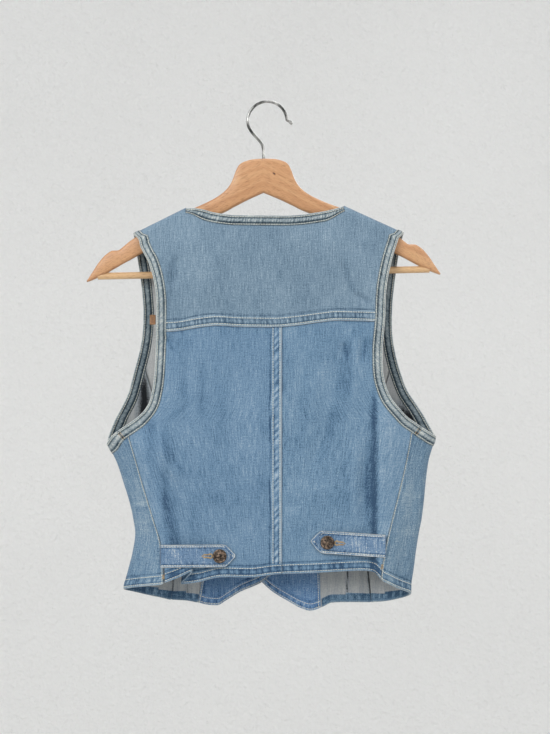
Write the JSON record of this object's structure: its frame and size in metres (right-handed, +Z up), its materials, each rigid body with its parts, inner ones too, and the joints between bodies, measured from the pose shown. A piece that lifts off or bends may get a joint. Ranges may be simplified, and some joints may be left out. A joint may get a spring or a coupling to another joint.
{
  "type": "denim vest on a coat hanger",
  "caption": "Cropped sleeveless denim vest, buttoned and hanging flat on a wooden coat hanger, with a back yoke, waist tabs and a pointed front hem.",
  "frame": {"origin": "inner top of the hanger's hook, where it bears on the peg or rail it hangs from", "axes": "+Z up; +X towards the wearer's right; +Y towards the garment's front, so that its back faces -Y"},
  "size_m": [0.4272, 0.0642, 0.6175],
  "materials": {
    "denim": "washed light blue twill",
    "facing": "light blue twill, inner side",
    "binding": "worn grey-blue twill",
    "leather": "plain brown",
    "brass": "antiqued",
    "hanger_wood": "clear satin lacquer",
    "bar_wood": "clear satin lacquer",
    "chrome": "bright"
  },
  "bodies": {
    "root": {"back_yoke": "denim", "back_panel_left": "denim", "back_panel_right": "denim", "side_panel_left": "denim", "side_panel_right": "denim", "front_left": "denim", "front_right": "denim", "facing_left": "facing", "facing_right": "facing", "armhole_band_left": "binding", "armhole_band_right": "binding", "neck_band": "binding", "waist_tab_left": "denim", "waist_tab_right": "denim", "armhole_label": "leather", "tab_button_left": "brass", "tab_button_right": "brass", "front_button_1": "brass", "front_button_2": "brass", "front_button_3": "brass", "front_button_4": "brass", "hanger_wood": "hanger_wood", "hanger_bar": "bar_wood", "hanger_hook": "chrome"}
  },
  "joints": []
}
